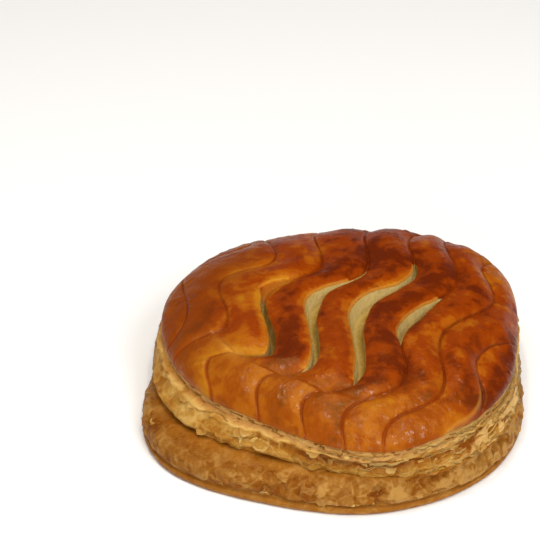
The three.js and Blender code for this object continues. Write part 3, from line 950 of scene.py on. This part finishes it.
def browning(n, along, across, front_border):
    """How brown the glaze is, 0 gold to 1 dark: patches, mottling, streaks and places, less
    brown for a painted highlight beside the cuts' lips and a painted sheen left of the first cut.
    """
    band = n.field("band")
    fine = n.noise(13 / 4.5, 3, 0.6, 0.3)
    patch = n.span(n.total(n.noise(13, 2.5, 0.5, 0.7), (fine, 0.3), -0.15), 0.3, 0.7)
    mottle = n.span(n.noise(3.4, 3, 0.6, 0.5), 0.3, 0.7)
    # Painted highlight: less brown beside the cuts' lips.
    painted_highlight_beside_cut = n.span(n.field("lip"), 3.8, 0.2)
    between_cuts = n.window((band, 1.9, 2.25), (band, 5.5, 4.8))
    right_of_cuts = n.span(band, 4.6, 5.2)
    flap = n.window((across, 51, 55), (along, -26, -14))
    behind_cuts = n.window((along, 16, 34), (across, 34, 12))
    # Painted sheen: less brown on the band left of the first cut.
    painted_sheen = n.window((band, 1.15, 1.5), (band, 2.05, 1.9), (along, 8, -3))
    right = n.span(across, 8, 34)
    front_left = n.window((across, -18, -32), (along, 6, -8))
    back = n.span(along, 34, 44)
    return n.total(
        (patch, 0.36), (mottle, 0.22), (streaks(n, along, band), 0.34), (n.field("pillow"), 0.1),
        (painted_highlight_beside_cut, -0.3), (between_cuts, 0.31), (right_of_cuts, 0.1), (front_border, -0.15),
        (flap, 0.45), (behind_cuts, 0.14), (painted_sheen, -0.18), (right, 0.08), -0.07,
        (front_left, 0.24), (back, -0.22),
    )


def score_lines(n, skin, front_border):
    """Thin dark lines, softer and with reddish sides in the front border, and the dark crack."""
    score = n.field("score")
    strength = n.span(n.noise(9, 2, 0.5), 0.35, 0.65, 0.3, 0.75)
    strength = n.times(strength, n.span(front_border, 0, 1, 1, 0.8))
    line = n.times(n.span(score, 0.75, 0.05), strength)
    line = n.math("MAXIMUM", line, n.span(n.field("crack"), 0.1, 0.7))
    soft = n.times(front_border, 0.62)
    return n.layered(skin, (n.span(score, 1.3, 0.2), soft, RUSSET), (line, 1, SCORE_SHADE))


def browned_skin(n, along, across):
    """Dark spots, a duller front border, a browner left side, and painted highlights in gold
    beside the cuts' lips, on the split's edge and at the fold's end."""
    front_border = n.window((n.field("reach"), 0.58, 0.8), (along, -12, -34))
    brown = browning(n, along, across, front_border)
    skin = n.ramp(brown, (0.05, GOLD), (0.34, AMBER), (0.62, RUSSET), (1, DARK_CRUST))
    spots = n.window((n.noise(5.5, 3, 0.6, 0.5), 0.54, 0.72), (across, -20, 10))
    # Painted highlights in gold along the cuts' lips (weaker in the first cut), on the split's edge
    # and at the fold's end.
    lip_highlight_share = n.span(n.field("first_cut"), 1, 0, 0.25, 0.55)
    lip = n.times(n.span(n.field("lip"), 0.75, 0.1), lip_highlight_share)
    skin = n.layered(
        skin, (spots, 0.55, DARK_CRUST),
        (front_border, n.span(across, 20, -10, 0.22, 0.3), BORDER_TAN),
        (n.span(across, -24, -42), 0.66, LEFT_BROWN),
        (n.math("MAXIMUM", lip, n.times(n.field("split_edge"), 0.4)), 1, LIP_PAINTED_HIGHLIGHT),
        (n.field("corner"), 0.45, LIP_PAINTED_HIGHLIGHT),
    )
    return score_lines(n, skin, front_border)


def cut_crumb(n, along):
    """Pale porous dough, shaded low down and with painted shade in the first cut and upper ends."""
    return n.layered(
        CREAM,
        (n.span(n.field("wall"), -0.08, 0.16), 1, CRUMB_SHADE),
        (n.span(n.noise(1.8, 3, 0.6, 0.4), 0.48, 0.66), 0.5, CRUMB_PALE),
        (n.span(n.field("cut"), 3.6, 5), 0.5, CRUMB_SHADE),
        (n.span(n.noise(0.9, 2, 0.6), 0.58, 0.7), 0.45, PORE),
        # Painted shade in the first cut and toward the cuts' upper ends.
        (n.math("MAXIMUM", n.field("first_cut"), n.span(along, 25, 36)), 0.6, CUT_PAINTED_SHADE),
        (n.field("pocket"), 1, POCKET_TAN),
    )


def glaze():
    """The lid's finish: egg glaze, thickest toward the front, and bare dough in the cuts."""

    def colour(n):
        along, across = n.field("along"), n.field("across")
        opened = n.span(n.field("cut"), 0.2, 0.55)
        opened = n.times(opened, n.span(n.field("pocket"), 0, 1, 1, 0.7))
        return n.mix(opened, browned_skin(n, along, across), cut_crumb(n, along))

    def gloss(n):
        dull = n.times(n.span(n.field("cut"), 0.2, 0.7), 0.45)
        thick = n.window((n.field("along"), 25, -20), (n.field("across"), -50, -25))
        beads = n.times(n.span(n.noise(1.7, 2, 0.5), 0.58, 0.66), thick)
        return dull, n.span(thick, 0, 1, 0.06, 0.2), n.total((thick, 0.02), (beads, 0.5), 0.02)

    return baked(
        "egg_glaze", colour, (2.4, 3, 0.6, 0.26, 0.42), (2.6, 0.35), 0.28, gloss,
        Specular_Tint=(1, 0.7, 0.15, 1), Coat_Roughness=0.1,
    )


def torn_crust(name, tones, film_share, crease_shade_share, extra):
    """Baked leaves: mottled tones, painted shade in hollows and crease, and pale torn edges."""

    def colour(n):
        leaf = n.group(TORN_LEAVES, Border=n.field("border"), Tone=n.field("tone"))
        # Painted shade: the deeper the recess, the more toasted the tone.
        value = n.total((leaf["Toast"], 0.85), (n.field("recess"), 0.42), 0.02)
        crust = n.ramp(value, *zip((0.12, 0.42, 0.7, 0.98), tones))
        crust = n.layered(crust, (leaf["Edge"], 0.6, tones[0]), (leaf["Film"], film_share, tones[0]))
        # Painted shade in the crease between the layers.
        return n.layered(extra(n, crust), (n.field("crease"), crease_shade_share, CREASE_PAINTED_SHADE))

    return baked(
        name, colour, (2.5, 2, 0.5, 0.38, 0.6), (2.2, 0.5), 0.16,
        Specular_IOR_Level=0.12, Specular_Tint=(1, 0.65, 0.3, 1),
        Subsurface_Weight=0.35, Subsurface_Radius=(1, 0.5, 0.2), Subsurface_Scale=0.002,
    )


def strip_and_layers(n, crust):
    """A paler porous strip with painted shade in its pits and left groove, a painted highlight
    on the ledge, and cream on the level leaves.
    """
    patchy = n.span(n.noise(5, 2, 0.5), 0.38, 0.6, 0, 0.6)
    return n.layered(
        # Painted shade in the pits and in the groove at the left; painted highlight on the ledge.
        crust, (n.field("strip"), 0.55, STRIP_TAN), (n.field("pits"), 0.75, UPPER_TONES[2]),
        (n.field("left"), 0.6, GROOVE_PAINTED_SHADE), (n.field("ledge"), patchy, LEDGE_PAINTED_HIGHLIGHT),
        (n.span(n.field("layers"), 0.45, 0.95), 0.7, LEAF_CREAM),
    )


def rim_and_groove(n, crust):
    """Painted shade on the left side and in the groove over an even tan rim."""
    return n.layered(
        # Painted shade on the left side and in the groove.
        crust, (n.field("left"), 0.3, LOWER_TONES[2]), (n.field("rim"), 0.35, RIM_TAN),
        (n.span(n.field("groove"), 0.4, 0.95), 0.35, LOWER_TONES[3]),
    )


def loose_leaf():
    """Thin flakes and ribbons: each toasted in its own way, browner at the root."""

    def colour(n):
        toast, free_end = n.field("toast"), n.field("free_end")
        tone = n.total((toast, 0.55), (n.noise(2, 3, 0.6), 0.5), (free_end, -0.35))
        return n.ramp(tone, *zip((0, 0.4, 0.9), UPPER_TONES))

    look = (1.5, 2, 0.5, 0.42, 0.62), (1.2, 0.4), 0.1
    return baked("loose_leaf", colour, *look, Specular_IOR_Level=0.25)


def dress(piece, material):
    piece.data.materials.clear()
    piece.data.materials.append(material)


# ---- studio ----


# Lamps: place, what they aim at, size (m), power (W).
LAMPS = dict(
    key=((0.45, -0.55, 0.75), (0, 0, 0.02), (0.4, 0.4), 5.2),
    top=((-0.1, -0.1, 1), (0, 0, 0), (0.9, 0.9), 6.3),
    front_glint=((0.1, -0.45, 0.8), (0, 0, 0.02), (0.05, 0.05), 1.5),
    top_glint=((-0.15, 0.02, 0.95), (0, 0, 0.02), (0.06, 0.06), 1.3),
    front=((-0.3, -1, 0.4), (0, 0, 0.02), (0.9, 0.5), 4),
)
GLINT_COLOUR = (1, 0.88, 0.68)
WORLD_STRENGTH = 0.09
FLOOR_HALF = 1.6
CAMERA = dict(lens=127, sensor=36, place=(-0.02013, -0.48179, 0.37181), pitch=34)


def softbox(name, spot, aim, size, power):
    light = bpy.data.lights.new(name, "AREA")
    light.color = GLINT_COLOUR if "glint" in name else (1, 1, 1)
    light.shape = "RECTANGLE"
    light.size, light.size_y = size
    light.energy = power
    lamp = place(name, light)
    lamp.location = spot
    direction = unit(np.array(aim) - np.array(spot))
    turn = math.atan2(direction[0], -direction[1]) + math.pi
    lamp.rotation_euler = (math.acos(-direction[2]), 0, turn)


def studio():
    """A pale floor, softboxes with two small warm ones for the glints, and the camera."""
    corners = [(x * FLOOR_HALF, y * FLOOR_HALF, 0) for x, y in ((-1, -1), (1, -1), (1, 1), (-1, 1))]
    mesh = bpy.data.meshes.new("floor")
    mesh.from_pydata(corners, [], [(0, 1, 2, 3)])
    floor = place("floor", mesh)
    paper = bpy.data.materials.new("pale_paper")
    paper.use_nodes = True
    shader = paper.node_tree.nodes["Principled BSDF"]
    shader.inputs["Base Color"].default_value = (0.94, 0.94, 0.94, 1)
    shader.inputs["Roughness"].default_value = 0.9
    dress(floor, paper)

    for name, settings in LAMPS.items():
        softbox(name, *settings)
    scene = bpy.context.scene
    scene.world = bpy.data.worlds.new("studio")
    scene.world.use_nodes = True
    background = scene.world.node_tree.nodes["Background"].inputs
    background["Color"].default_value = (1, 1, 1, 1)
    background["Strength"].default_value = WORLD_STRENGTH

    camera = place("camera", bpy.data.cameras.new("camera"))
    camera.data.lens = CAMERA["lens"]
    camera.data.sensor_width = CAMERA["sensor"]
    camera.location = CAMERA["place"]
    camera.rotation_euler = (math.radians(90 - CAMERA["pitch"]), 0, 0)
    scene.camera = camera
    scene.view_settings.view_transform = "Standard"


# ---- the pastry ----

lid = build_lid()
dress(lid, glaze())
upper, upper_net = build_upper_layer()
dress(upper, torn_crust("upper_crust", UPPER_TONES, 0.22, 0.7, strip_and_layers))
lower, lower_net = build_lower_layer()
dress(lower, torn_crust("lower_crust", LOWER_TONES, 0.4, 0.6, rim_and_groove))

leaf_finish = loose_leaf()
for loose in (
    build_flakes("wall_flakes", upper_net, (24, 56), 80, 201, (0.15, 0.8, 265, 60), (2.2, 6), 0.1),
    build_flakes("foot_flakes", lower_net, (36, 62), 70, 203, (0.6, 0, 0, 1), (1.6, 4.6), 0.08),
    build_leaf_edges("leaf_edges", upper_net, (18, 66), 84, 205, (314, 27), (5, 20), 0.9),
):
    dress(loose, leaf_finish)
studio()
